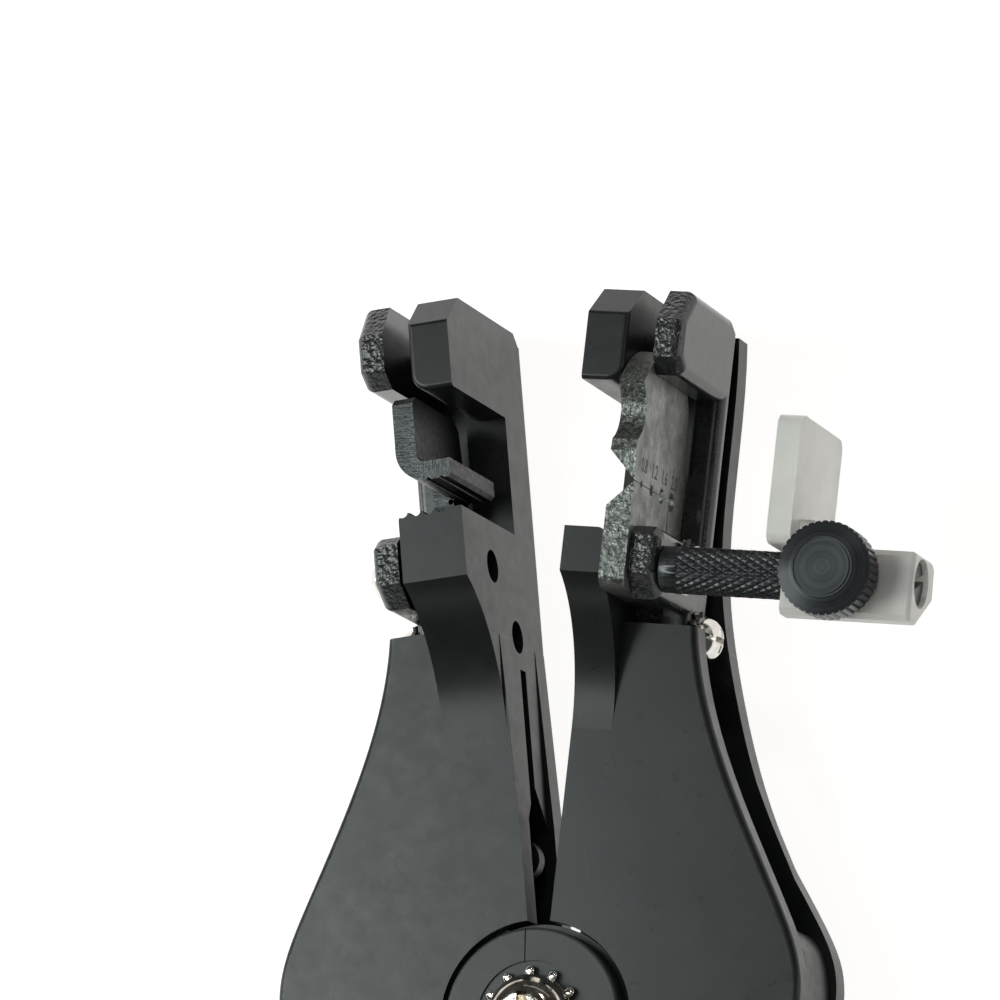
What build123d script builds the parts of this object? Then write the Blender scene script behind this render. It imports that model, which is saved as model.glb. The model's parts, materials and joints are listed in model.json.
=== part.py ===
from build123d import *
import math
import os

# Automatic wire stripper, lying flat on its back. Millimetres.
# Origin: axis of the hub at the rear faces. +Y runs to the jaws, +Z to the front, +X to the right.
# Each half is drawn as a right-hand half with the frames closed: x runs outward from the middle.
# place() mirrors it for the left side and swings it out by SPREAD about the hub.

# ---- driving dimensions ----
SPREAD = 5.75  # degrees that each frame stands open at rest
INNER = 0.5  # inner side face of each closed half
LEFT_WAIST = -0.1  # inner side of the left plates beside the hub
REAR_PLATE = 3.0
FRONT_PLATE = 3.2
FRONT = 14.7  # front face of the front plate
PLATE_TOP = 42.6
HEAD_FRONT = 24.0  # front faces of the hook and the block
HEAD_TOP = 77.2
HOOK_BOTTOM = 66.7
HEAD_OUT = 5.0  # outer face of the hook and the column
BAR = 6.7  # depth of the rear bar
WALL = 5.0  # depth of the wider rear wall behind the levers
WALL_OUT = 9.4
SKIRT = (
    (26.8, -1.5),
    (28.5, 2.0),
    (28.95, 5.5),
    (28.4, 9.2),
    (26.5, 13.0),
    (24.5, 16.0),
    (21.9, 19.8),
    (19.8, 23.6),
    (17.4, 28.8),
    (15.1, 35.0),
    (13.5, 40.2),
    (12.5, 44.0),
    (11.7, 47.9),
    (10.9, 58.9),
    (10.45, 75.9),
)
SLOT_TOP = 38.6
SWEEP_START = 31.0  # where the raised arm leaves the plate
SWEEP_RADIUS = 17.1
BLOCK_LOW = 46.2
LEFT_BLOCK_TOP = 53.7
LEFT_BLOCK_OUT = 7.6
RIGHT_BLOCK_TOP = 51.0
TOOTH_PITCH = 1.45
LEVER_IN = 5.1  # the jaw levers and blades lie between the castings and the cheeks
GRIPPER_OUT = 7.4
BLADE_OUT = 7.9
CHEEK_IN = 8.0
CHEEK_OUT = 11.0
CHEEK_FRONT = 23.6
CUT_Y = 56.0  # height of the cutting edges
SCREW_Y = 48.7
SCREW_Z = 15.1
PIVOT_Y = 42.1
PIVOT_Z = 8.5
SHANK_R = 1.75
RUN = 0.05  # radial running clearance
HUB_R = 10.5
EYE_R = 10.2
HUB_RING_R = 9.6
SLEEVE_R = 3.0
HUB_FRONT = 15.8  # front face of the hub ring, proud of the plates
PIN_X = 18.5
PIN_Y = -1.0
PIN_R = 2.5
ROD_Y = 47.4
ROD_Z = 21.1
ROD_R = 2.5
ROD_END = 36.9
ROD_BORE = 2.0  # inner end of the rod's thread
KNOB_X = 30.4
KNOB_R = 4.95
KNOB_LOW = 24.4
KNOB_TOP = 28.7
GUARD_IN = 23.4
GUARD_OUT = 26.0
GUARD_Y = (50.0, 63.6)
GUARD_Z = (11.6, 26.6)
BLOCK_IN = 24.9
BLOCK_END = 38.9
WASHER = 0.7
HANDLE_END = -98.0
SIZES = (0.8, 1.2, 1.6, 2.0)  # wire sizes of the four stripping holes
HOLE_FIRST = 22.4  # z of the smallest hole
HOLE_STEP = 3.4

os.makedirs("parts", exist_ok=True)


def place(part, side):
    """Swing a finished right-hand half part to its open place; the left one is mirrored first."""
    if side == "left":
        return mirror(part, about=Plane.YZ).rotate(Axis.Z, SPREAD)
    return part.rotate(Axis.Z, -SPREAD)


def save(part, node):
    """Label one finished piece and write it."""
    part.label = node
    export_step(part, f"parts/{node}.step")


def side_plane(y, z, x):
    """Plane across a screw axis at distance x, facing outward."""
    return Plane(origin=(x, y, z), x_dir=(0, 1, 0), z_dir=(1, 0, 0))


# ---- outlines ----
def plate_outline(waist):
    """Front and rear plate: narrow at the head, a round bulge beside the hub."""
    with BuildSketch() as sketch:
        with BuildLine():
            Polyline((waist, 0), (waist, 22.0), (INNER, PLATE_TOP), (13.0, PLATE_TOP))
            Spline(
                (13.0, PLATE_TOP),
                (14.3, 36.7),
                (19.3, 24.9),
                (25.0, 14.6),
                (28.3, 6.5),
                (25.6, -4.5),
                (17.0, -10.6),
                (8.0, -12.2),
            )
            Polyline((8.0, -12.2), (2.6, -11.6), (waist, 0))
        make_face()
        fillet(sketch.vertices().sort_by(Axis.Y)[-1], 1.4)
    return sketch.sketch


def sweep_point(share):
    """Point (y, z) of the concave sweep from the plate up to the block, at a share of its turn."""
    turn = share * math.asin((BLOCK_LOW - SWEEP_START) / SWEEP_RADIUS)
    return (
        SWEEP_START + SWEEP_RADIUS * math.sin(turn),
        FRONT + SWEEP_RADIUS * (1 - math.cos(turn)),
    )


def head_outline(block_top):
    """Side profile of the column, the block, the rear bar and the hook, with y along and z across."""
    with BuildSketch() as sketch:
        with BuildLine():
            Polyline((SLOT_TOP, 0), (SLOT_TOP, FRONT - FRONT_PLATE), (SWEEP_START, FRONT - FRONT_PLATE))
            Line((SWEEP_START, FRONT - FRONT_PLATE), (SWEEP_START, FRONT))
            ThreePointArc(sweep_point(0), sweep_point(0.5), sweep_point(1))
            Polyline(
                sweep_point(1),
                (BLOCK_LOW, HEAD_FRONT),
                (block_top, HEAD_FRONT),
                (block_top, BAR),
                (HOOK_BOTTOM, BAR),
                (HOOK_BOTTOM, HEAD_FRONT),
                (HEAD_TOP - 3.3, HEAD_FRONT),
                (HEAD_TOP, HEAD_FRONT - 4.2),
                (HEAD_TOP, 1.6),
                (HEAD_TOP - 1.6, 0),
                (SLOT_TOP, 0),
            )
        make_face()
    return sketch.sketch


def block_outline(block_top):
    """Side profile of the raised arm and block in front of the jaw lever."""
    back = 13.4
    with BuildSketch() as sketch:
        with BuildLine():
            ThreePointArc(sweep_point(0), sweep_point(0.5), sweep_point(1))
            Polyline(
                sweep_point(1),
                (BLOCK_LOW, HEAD_FRONT),
                (block_top, HEAD_FRONT),
                (block_top, back),
                (SWEEP_START, back),
                (SWEEP_START, FRONT),
            )
        make_face()
    return sketch.sketch


# ---- castings ----
def casting(block_out, block_top, waist, front_eye, rear_eye):
    """One frame casting; front_eye and rear_eye are the low faces of its two hub eyes."""
    eye = 1.5
    with BuildPart() as frame:
        with BuildSketch(Plane.XY):
            add(plate_outline(waist))
        extrude(amount=REAR_PLATE)
        with BuildSketch(Plane.XY.offset(FRONT - FRONT_PLATE)):
            add(plate_outline(waist))
        extrude(amount=FRONT_PLATE)
        rims = frame.edges().filter_by(GeomType.BSPLINE)
        fillet(rims.group_by(Axis.Z)[-1], 0.7)
        fillet(frame.edges().filter_by(GeomType.BSPLINE).group_by(Axis.Z)[0], 0.7)
        # column, rear bar and hook
        with BuildSketch(Plane.YZ.offset(INNER)):
            add(head_outline(block_top))
        extrude(amount=HEAD_OUT - INNER)
        if block_out > HEAD_OUT:
            with BuildSketch(Plane.YZ.offset(INNER)):
                add(block_outline(block_top))
            extrude(amount=block_out - INNER)
        # wider rear wall behind the levers and the cheek
        with BuildSketch(Plane.XY):
            with Locations((INNER, PLATE_TOP - 3.0)):
                Rectangle(WALL_OUT - INNER, HEAD_TOP - PLATE_TOP + 3.0 - 1.6, align=(Align.MIN, Align.MIN))
        extrude(amount=WALL)
        # thin skirt: the rear plate stands a little proud at the side, up to the top of the head
        with BuildSketch(Plane.XY):
            with BuildLine():
                Spline(*SKIRT)
                Polyline(SKIRT[-1], (INNER, SKIRT[-1][1]), (INNER, 20.0), SKIRT[0])
            make_face()
        extrude(amount=REAR_PLATE)
        # ribs along the inner edge, with the slot between them
        with BuildSketch(Plane.YZ.offset(INNER)):
            Polygon((SLOT_TOP, 8.5), (24.0, 8.5), (19.5, 11.5), (SLOT_TOP, 11.5), align=None)
            Polygon((SLOT_TOP, REAR_PLATE), (SLOT_TOP, BAR), (26.0, BAR), (21.5, REAR_PLATE), align=None)
        extrude(amount=2.8)
        # hub: clear circle through both plates, then the two eyes
        with BuildSketch(Plane.XY.offset(-1)):
            Circle(HUB_R)
        extrude(amount=FRONT + 2, mode=Mode.SUBTRACT)
        for low in (front_eye, rear_eye):
            with BuildSketch(Plane.XY.offset(low)):
                Circle(EYE_R)
            extrude(amount=eye)
        # webs that carry each eye over to its plate
        plate_back = FRONT - FRONT_PLATE
        webs = (
            (EYE_R, front_eye, front_eye + eye),
            (EYE_R, rear_eye, rear_eye + eye),
            (HUB_R, front_eye, plate_back + eye),
            (HUB_R, REAR_PLATE - eye, rear_eye + eye),
        )
        for inner, low, high in webs:
            with BuildSketch(Plane.XY.offset(low)):
                Circle(HUB_R + 1.0)
                Circle(inner - 0.05, mode=Mode.SUBTRACT)
                with Locations((2.8, 0)):
                    Rectangle(20, 30, align=(Align.MAX, Align.CENTER), mode=Mode.SUBTRACT)
            extrude(amount=high - low)
        with BuildSketch(Plane.XY.offset(-1)):
            Circle(SLEEVE_R + RUN)
        extrude(amount=FRONT + 2, mode=Mode.SUBTRACT)
        # holes for the cheek screws, right through the column
        with BuildSketch(Plane.YZ):
            with Locations((SCREW_Y, SCREW_Z), (PIVOT_Y, PIVOT_Z)):
                Circle(SHANK_R + 0.03)
        extrude(amount=CHEEK_OUT, mode=Mode.SUBTRACT)
        # bores for the handle pin
        with BuildSketch(Plane.XY.offset(-1)):
            with Locations((PIN_X, PIN_Y)):
                Circle(PIN_R + 0.02)
        extrude(amount=FRONT + 2, mode=Mode.SUBTRACT)
        with BuildSketch(Plane.XY.offset(FRONT - 0.9)):
            with Locations((PIN_X, PIN_Y)):
                Circle(PIN_R + 1.0)
        extrude(amount=1.0, mode=Mode.SUBTRACT)
    return frame.part


def head_softened(part, block_out):
    """Round the outer corners of the hook and the block, as the mould leaves them."""
    with BuildPart() as soft:
        add(part)
        hook_side = soft.edges().filter_by(Axis.Z).filter_by_position(Axis.X, HEAD_OUT - 0.1, HEAD_OUT + 0.1)
        fillet(hook_side.filter_by_position(Axis.Y, HOOK_BOTTOM - 0.1, HOOK_BOTTOM + 0.1), 1.8)
        upright = soft.edges().filter_by(Axis.Z)
        block_side = upright.filter_by_position(Axis.X, block_out - 0.1, block_out + 0.1)
        fillet(block_side.filter_by_position(Axis.Y, RIGHT_BLOCK_TOP - 0.1, LEFT_BLOCK_TOP + 0.1), 0.8)
        across = soft.edges().filter_by(Axis.X)
        front_edges = across.filter_by_position(Axis.Z, HEAD_FRONT - 0.1, HEAD_FRONT + 0.1)
        fillet(front_edges.filter_by_position(Axis.Y, HOOK_BOTTOM - 0.1, HEAD_TOP), 0.5)
    return soft.part


def toothed(part, block_top):
    """Cut four round notches across the outer part of the block's top."""
    middle = 4.25
    with BuildPart() as block:
        add(part)
        with BuildSketch(Plane.XY.offset(BAR + 0.2)):
            for step in range(-1, 3):
                with Locations((middle + step * TOOTH_PITCH, block_top + 0.15)):
                    Circle(0.62)
        extrude(amount=HEAD_FRONT, mode=Mode.SUBTRACT)
    return block.part


def rod_bore():
    """Threaded bore of the stop rod, drawn plain, from the cheek's outside into the casting."""
    with BuildPart() as bore:
        with BuildSketch(side_plane(ROD_Y, ROD_Z, ROD_BORE)):
            Circle(SHANK_R + RUN)
        extrude(amount=CHEEK_OUT)
    return bore.part


left_frame = casting(LEFT_BLOCK_OUT, LEFT_BLOCK_TOP, LEFT_WAIST, 11.5, 3.2)
left_frame = head_softened(left_frame, LEFT_BLOCK_OUT)
left_frame = toothed(left_frame, LEFT_BLOCK_TOP)
save(place(left_frame, "left"), "left_frame")

right_frame = casting(HEAD_OUT, RIGHT_BLOCK_TOP, INNER, 9.8, 1.6)
right_frame = head_softened(right_frame, HEAD_OUT)
right_frame = right_frame - rod_bore()
save(place(right_frame, "right"), "right_frame")


# ---- cheeks ----
def cheek():
    """Outer C-shaped casting: hook, rear bar, block and the boss round the pivot screw."""
    back = WALL + 0.1
    bar = 7.7
    throat = HOOK_BOTTOM + 1.2
    low = PIVOT_Y + 2.0
    boss = PIVOT_Y - 4.6
    with BuildPart() as body:
        with BuildSketch(Plane.YZ.offset(CHEEK_IN)):
            Polygon(
                (boss, 7.0),
                (boss + 1.6, back),
                (HEAD_TOP - 1.0, back),
                (HEAD_TOP, back + 2.0),
                (HEAD_TOP, CHEEK_FRONT - 3.3),
                (HEAD_TOP - 3.6, CHEEK_FRONT),
                (throat + 1.6, CHEEK_FRONT),
                (throat, CHEEK_FRONT - 2.1),
                (throat, bar),
                (51.6, bar),
                (51.6, CHEEK_FRONT - 1.0),
                (50.6, CHEEK_FRONT + 0.3),
                (46.4, CHEEK_FRONT + 0.3),
                (low, CHEEK_FRONT - 2.4),
                (low, 11.3),
                (boss + 1.2, 11.3),
                (boss, 9.8),
                align=None,
            )
        extrude(amount=CHEEK_OUT - CHEEK_IN)
        outside = body.faces().sort_by(Axis.X)[-1]
        fillet(outside.edges(), 1.1)
        for y, z in ((PIVOT_Y, PIVOT_Z), (SCREW_Y, SCREW_Z)):
            with BuildSketch(side_plane(y, z, CHEEK_IN - 1)):
                Circle(SHANK_R + RUN)
            extrude(amount=10, mode=Mode.SUBTRACT)
        # pocket for the jaw spring round the pivot screw
        with BuildSketch(side_plane(PIVOT_Y, PIVOT_Z, CHEEK_IN)):
            Circle(2.75)
        extrude(amount=1.9, mode=Mode.SUBTRACT)
    return body.part


save(place(cheek(), "left"), "left_cheek")
save(place(cheek() - rod_bore(), "right"), "right_cheek")


# ---- jaw levers and blades ----
def lever_stem(top, width):
    """Lower half of a jaw lever: boss on the pivot, stem up to top and tail down between the plates."""
    with BuildPart() as stem:
        with BuildSketch(Plane.YZ.offset(LEVER_IN)):
            with Locations((PIVOT_Y, PIVOT_Z)):
                Circle(2.8)
            Polygon(
                (PIVOT_Y - 1, 5.5),
                (PIVOT_Y + 2, 5.7),
                (top, 8.3),
                (top, 12.7),
                (PIVOT_Y + 4.2, 12.7),
                (PIVOT_Y + 1.2, 10.9),
                (PIVOT_Y - 1, 10.9),
                align=None,
            )
            Polygon(
                (18.0, 3.4),
                (34.0, 3.4),
                (PIVOT_Y - 1, 5.5),
                (PIVOT_Y - 1, 10.9),
                (36.5, 8.4),
                (30.0, 5.2),
                (18.0, 5.2),
                align=None,
            )
        extrude(amount=width)
    return stem.part


def gripper():
    """Gripping jaw: flat plate whose lower edge is bent into a foot over the block."""
    thick = GRIPPER_OUT - LEVER_IN
    foot_low = 57.0
    foot_top = foot_low + 2.0
    bend = 3.3  # outer radius
    inside = 0.9  # inner radius of the bend
    reach = 1.4  # inner end of the foot
    with BuildPart() as jaw:
        add(lever_stem(foot_low + 4.0, thick))
        with BuildSketch(Plane.YZ.offset(LEVER_IN)):
            Polygon(
                (foot_low + 2.0, 8.2),
                (foot_low + 8.3, 9.2),
                (foot_low + 9.3, 10.6),
                (foot_low + 9.3, HEAD_FRONT - 1.2),
                (foot_low + 8.5, HEAD_FRONT - 0.1),
                (foot_low + 2.0, HEAD_FRONT - 0.1),
                align=None,
            )
        extrude(amount=thick)
        # bent foot, drawn in plan and carried back along the jaw
        with BuildSketch(Plane.XY.offset(9.8)):
            with BuildLine():
                Line((LEVER_IN, foot_low + 4.0), (LEVER_IN, foot_top + inside))
                RadiusArc((LEVER_IN, foot_top + inside), (LEVER_IN - inside, foot_top), inside)
                Polyline(
                    (LEVER_IN - inside, foot_top),
                    (reach, foot_top),
                    (reach, foot_low + 0.4),
                    (reach + 0.4, foot_low),
                    (GRIPPER_OUT - bend, foot_low),
                )
                RadiusArc((GRIPPER_OUT - bend, foot_low), (GRIPPER_OUT, foot_low + bend), -bend)
                Polyline(
                    (GRIPPER_OUT, foot_low + bend),
                    (GRIPPER_OUT, foot_low + 4.0),
                    (LEVER_IN, foot_low + 4.0),
                )
            make_face()
        extrude(amount=HEAD_FRONT - 0.1 - 9.8)
        # trim the square lower corner of the plate to the outside of the bend
        with BuildSketch(Plane.XY.offset(12.7)):
            with BuildLine():
                RadiusArc((GRIPPER_OUT - bend, foot_low), (GRIPPER_OUT, foot_low + bend), -bend)
                Polyline(
                    (GRIPPER_OUT, foot_low + bend),
                    (GRIPPER_OUT + 2, foot_low + bend),
                    (GRIPPER_OUT + 2, foot_low - 1),
                    (GRIPPER_OUT - bend, foot_low - 1),
                    (GRIPPER_OUT - bend, foot_low),
                )
            make_face()
        extrude(amount=HEAD_FRONT, mode=Mode.SUBTRACT)
        # serrations under the foot
        with BuildSketch(Plane.XY.offset(9.0)):
            for step in range(3):
                with Locations((reach + 1.1 + step * TOOTH_PITCH, foot_low - 0.1)):
                    Circle(0.3)
        extrude(amount=HEAD_FRONT, mode=Mode.SUBTRACT)
        with BuildSketch(Plane.YZ):
            with Locations((PIVOT_Y, PIVOT_Z)):
                Circle(SHANK_R + RUN)
        extrude(amount=20, mode=Mode.SUBTRACT)
    return jaw.part


def stripping_holes():
    """The four holes across the cutting edges, smallest at the front."""
    with BuildPart() as holes:
        for index, size in enumerate(SIZES):
            with BuildSketch(Plane.YZ.offset(LEVER_IN - 1)):
                with Locations((CUT_Y, HOLE_FIRST - index * HOLE_STEP)):
                    Circle(size / 2)
            extrude(amount=BLADE_OUT - LEVER_IN + 2)
    return holes.part


def upper_blade():
    """Cutting lever: flat blade with a scalloped front edge and a ground lower edge."""
    thick = BLADE_OUT - LEVER_IN
    edge = CUT_Y + 0.05
    nose = HEAD_FRONT + 1.3
    with BuildPart() as blade:
        add(lever_stem(edge + 4.0, thick))
        with BuildSketch(Plane.YZ.offset(LEVER_IN)):
            with BuildLine():
                Polyline((edge, 9.2), (edge, nose - 0.7), (59.0, nose), (60.3, nose - 0.2))
                ThreePointArc((60.3, nose - 0.2), (62.8, nose - 1.9), (65.6, nose - 0.9))
                Polyline((65.6, nose - 0.9), (66.5, nose - 0.3), (68.2, nose - 1.8))
                ThreePointArc((68.2, nose - 1.8), (70.2, nose - 4.6), (71.0, nose - 7.6))
                Polyline((71.0, nose - 7.6), (71.0, 12.4), (66.0, 9.4), (edge, 9.2))
            make_face()
        extrude(amount=thick)
        # ground bevel towards the inner side
        with BuildSketch(Plane.XY.offset(9.0)):
            Polygon(
                (LEVER_IN - 1, edge - 1),
                (BLADE_OUT, edge),
                (LEVER_IN, edge + 3.0),
                (LEVER_IN - 1, edge + 3.0),
                align=None,
            )
        extrude(amount=20, mode=Mode.SUBTRACT)
        add(stripping_holes(), mode=Mode.SUBTRACT)
        with BuildSketch(Plane.YZ):
            with Locations((PIVOT_Y, PIVOT_Z)):
                Circle(SHANK_R + RUN)
        extrude(amount=20, mode=Mode.SUBTRACT)
    return blade.part


def lower_blade():
    """Fixed blade between the right casting and its cheek."""
    edge = CUT_Y - 0.05
    low = 44.6
    front = HEAD_FRONT + 0.8
    with BuildPart() as blade:
        with BuildSketch(Plane.YZ.offset(LEVER_IN)) as outline:
            Polygon((low, 12.9), (low, front), (edge, front), (edge, 12.9), align=None)
            fillet(outline.vertices().sort_by(Axis.X)[:2].sort_by(Axis.Y)[-1], 1.6)
        extrude(amount=BLADE_OUT - LEVER_IN)
        with BuildSketch(Plane.XY.offset(10)):
            Polygon(
                (LEVER_IN - 1, edge + 1),
                (BLADE_OUT, edge),
                (LEVER_IN, edge - 2.7),
                (LEVER_IN - 1, edge - 2.7),
                align=None,
            )
        extrude(amount=20, mode=Mode.SUBTRACT)
        add(stripping_holes(), mode=Mode.SUBTRACT)
        add(rod_bore(), mode=Mode.SUBTRACT)
        with BuildSketch(side_plane(SCREW_Y, SCREW_Z, 0)):
            Circle(SHANK_R + RUN)
        extrude(amount=20, mode=Mode.SUBTRACT)
    return blade.part


save(place(gripper(), "left"), "left_jaw_lever")
save(place(upper_blade(), "right"), "upper_blade")
save(place(lower_blade(), "right"), "lower_blade")


# ---- screws and washers ----
def toothed_washer(plane, radius, hole, teeth, thick):
    """External-tooth lock washer lying on a plane, its teeth twisted out of the ring."""
    with BuildPart() as washer:
        with BuildSketch(plane):
            Circle(radius - 0.8)
            Circle(hole, mode=Mode.SUBTRACT)
        extrude(amount=thick)
        middle = plane.origin + plane.z_dir * (thick / 2)
        for index in range(teeth):
            radial = plane.x_dir.rotate(Axis((0, 0, 0), plane.z_dir), 360.0 / teeth * index)
            leaning = plane.z_dir.rotate(Axis((0, 0, 0), radial), 25)
            with BuildSketch(Plane(origin=middle, x_dir=radial, z_dir=leaning)):
                with Locations((radius - 0.5, 0)):
                    Rectangle(1.0, 0.8)
            extrude(amount=thick * 0.25, both=True)
    return washer.part


def pan_screw(plane, head_r, head_h, shank_r, shank):
    """Cross-recessed pan head screw; the plane is the underside of its head."""
    with BuildPart() as screw:
        with BuildSketch(plane):
            Circle(head_r)
        extrude(amount=head_h)
        top = screw.edges().filter_by(GeomType.CIRCLE).sort_by_distance(plane.offset(10).origin)[0]
        fillet(top, head_h * 0.92)
        with BuildSketch(plane.offset(head_h)):
            Rectangle(head_r * 1.1, head_r * 0.26)
            Rectangle(head_r * 0.26, head_r * 1.1)
        extrude(amount=-head_h * 0.6, taper=8, mode=Mode.SUBTRACT)
        with BuildSketch(plane):
            Circle(shank_r)
        extrude(amount=-shank)
    return screw.part


def cheek_screws(places):
    """Screws and washers that hold a cheek, at the given (y, z) places."""
    head_at = CHEEK_OUT + WASHER
    with BuildPart() as screws:
        for y, z in places:
            add(pan_screw(side_plane(y, z, head_at), 2.45, 2.3, SHANK_R, head_at - 2.0))
    with BuildPart() as washers:
        for y, z in places:
            add(toothed_washer(side_plane(y, z, CHEEK_OUT), 2.95, SHANK_R + 0.1, 12, WASHER))
    return screws.part, washers.part


for side in ("left", "right"):
    screws, washers = cheek_screws([(SCREW_Y, SCREW_Z), (PIVOT_Y, PIVOT_Z)])
    save(place(screws, side), f"{side}_cheek_screws")
    save(place(washers, side), f"{side}_cheek_washers")


# ---- hub ----
with BuildPart() as hub_nut:
    with BuildSketch(Plane.XY):
        Circle(HUB_RING_R)
    extrude(amount=1.5)
    with BuildSketch(Plane.XY.offset(1.5)):
        Circle(SLEEVE_R)
    extrude(amount=FRONT - 1.6 - 1.5)
    with BuildSketch(Plane.XY.offset(3.0)):
        Circle(1.9)
    extrude(amount=FRONT, mode=Mode.SUBTRACT)
    # two blind spanner holes in the back
    with BuildSketch(Plane.XY):
        with PolarLocations(6.0, 2):
            Circle(0.9)
    extrude(amount=0.9, mode=Mode.SUBTRACT)
save(hub_nut.part, "hub_nut")

with BuildPart() as hub_ring:
    with BuildSketch(Plane.XY.offset(FRONT - 1.55)):
        Circle(HUB_RING_R)
        Circle(2.3, mode=Mode.SUBTRACT)
    extrude(amount=HUB_FRONT - FRONT + 1.55)
    fillet(hub_ring.edges().filter_by(GeomType.CIRCLE).group_by(Axis.Z)[-1].sort_by(SortBy.RADIUS)[-1], 0.35)
    with BuildSketch(Plane.XY.offset(HUB_FRONT - 0.25)):
        Circle(6.1)
    extrude(amount=1, mode=Mode.SUBTRACT)
    # fine radial seam in the outer ring
    with BuildSketch(Plane.XY.offset(HUB_FRONT - 0.3)):
        with Locations((-0.8, 8.0)):
            Rectangle(0.12, 4.6)
    extrude(amount=1, mode=Mode.SUBTRACT)
save(hub_ring.part, "hub_ring")

HUB_SEAT = HUB_FRONT - 0.25
save(toothed_washer(Plane.XY.offset(HUB_SEAT), 5.5, 2.2, 12, WASHER), "hub_washer")
save(pan_screw(Plane.XY.offset(HUB_SEAT + WASHER), 4.6, 2.8, 1.85, 11.5), "hub_screw")


# ---- handles ----
def handle_outline():
    """Side of the pressed handle: round head in the bulge, then down to the grip."""
    with BuildSketch() as sketch:
        with BuildLine():
            Spline(
                (21.0, 11.4),
                (25.9, 11.8),
                (28.2, 6.4),
                (26.4, -7.0),
                (26.0, -24.0),
                (29.0, -60.0),
                (32.0, HANDLE_END),
            )
            Line((32.0, HANDLE_END), (23.5, HANDLE_END))
            Spline(
                (23.5, HANDLE_END),
                (20.6, -60.0),
                (16.0, -24.0),
                (12.6, -5.0),
                (14.0, 3.6),
                (21.0, 11.4),
            )
        make_face()
    return sketch.sketch


def handle_channel():
    """U-shaped pressed steel handle, open towards the middle of the tool."""
    low = 3.25
    high = 11.25
    sheet = 1.6
    with BuildPart() as channel:
        with BuildSketch(Plane.XY.offset(low)):
            add(handle_outline())
        extrude(amount=high - low)
        with BuildSketch(Plane.XY.offset(low + sheet)):
            with Locations(Location((-sheet - 0.3, 0))):
                add(handle_outline())
            with BuildLine():
                Polyline((23.5, HANDLE_END - 1), (20.6, -60.0), (16.0, -24.0), (12.6, -5.0), (20.0, 12.0))
                Polyline((20.0, 12.0), (2.0, 12.0), (2.0, HANDLE_END - 1), (23.5, HANDLE_END - 1))
            make_face()
        extrude(amount=high - low - 2 * sheet, mode=Mode.SUBTRACT)
        with BuildSketch(Plane.XY):
            with Locations((PIN_X, PIN_Y)):
                Circle(PIN_R + RUN)
        extrude(amount=20, mode=Mode.SUBTRACT)
    return channel.part


def cam_plate(lap_low, lap_high):
    """Cam fixed in the handle's head: its nose laps past the other one between lap_low and lap_high."""
    low = 5.35
    high = 9.2
    nose = 18.4
    nose_r = 2.3
    with BuildPart() as cam:
        with BuildSketch(Plane.XY.offset(low)):
            with BuildLine():
                Polyline((14.4, -3.0), (6.2, 13.6), (4.6, nose - nose_r))
                Polyline((4.6, nose - nose_r), (4.6, nose + nose_r), (8.3, nose + nose_r))
                Polyline((8.3, nose + nose_r), (21.6, 4.6), (22.6, -3.0), (18.5, -6.4), (14.4, -3.0))
            make_face()
            with Locations((2.8, nose)):
                Circle(nose_r)
            with Locations((4.0, nose)):
                Rectangle(2.4, 2 * nose_r)
        extrude(amount=high - low)
        # ramp that pushes the lever's tail back
        with BuildSketch(Plane.XZ.offset(-14.0)):
            Polygon(
                (5.0, low - 1),
                (5.0, low),
                (8.6, low + 3.9),
                (10.5, low + 3.9),
                (10.5, low - 1),
                align=None,
            )
        extrude(amount=-8.0, mode=Mode.SUBTRACT)
        # lapped nose
        for bottom, top in ((low - 1, lap_low), (lap_high, high + 1)):
            with BuildSketch(Plane.XY.offset(bottom)):
                Polygon((-1, 12.0), (6.9, 12.0), (6.9, 22.0), (-1, 22.0), align=None)
            extrude(amount=top - bottom, mode=Mode.SUBTRACT)
        # seat of the handle spring round the pin
        with BuildSketch(Plane.XY.offset(7.1)):
            with Locations((PIN_X, PIN_Y)):
                Circle(5.2)
        extrude(amount=5, mode=Mode.SUBTRACT)
        with BuildSketch(Plane.XY):
            with Locations((PIN_X, PIN_Y)):
                Circle(PIN_R + RUN)
        extrude(amount=20, mode=Mode.SUBTRACT)
    return cam.part


def grip():
    """Dipped sleeve over the handle, closed at its end and open at the top."""
    low = 1.3
    high = 13.2
    wall = 1.9
    top = -22.0
    with BuildPart() as sleeve:
        with BuildSketch(Plane.XY.offset(low)):
            with BuildLine():
                Spline((15.8 - wall, top), (20.2 - wall, -60.0), (23.3 - wall, HANDLE_END + 1))
                RadiusArc((23.3 - wall, HANDLE_END + 1), (32.2 + wall, HANDLE_END + 1), -6.6)
                Spline((32.2 + wall, HANDLE_END + 1), (29.3 + wall, -60.0), (26.2 + wall, top))
                Line((26.2 + wall, top), (15.8 - wall, top))
            make_face()
        extrude(amount=high - low)
        fillet(sleeve.edges().group_by(Axis.Z)[-1], 2.4)
        fillet(sleeve.edges().group_by(Axis.Z)[0], 2.4)
        with BuildSketch(Plane.XY.offset(3.25)):
            add(handle_outline())
        extrude(amount=8.0, mode=Mode.SUBTRACT)
    return sleeve.part


def coil(plane, radius, wire, turns, pitch):
    """Plain helical coil standing on a plane."""
    with BuildPart() as spring:
        with BuildLine():
            path = Helix(pitch, pitch * turns, radius, center=plane.origin, direction=plane.z_dir)
        with BuildSketch(Plane(origin=path @ 0, z_dir=path % 0)):
            Circle(wire / 2)
        sweep()
    return spring.part


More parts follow.
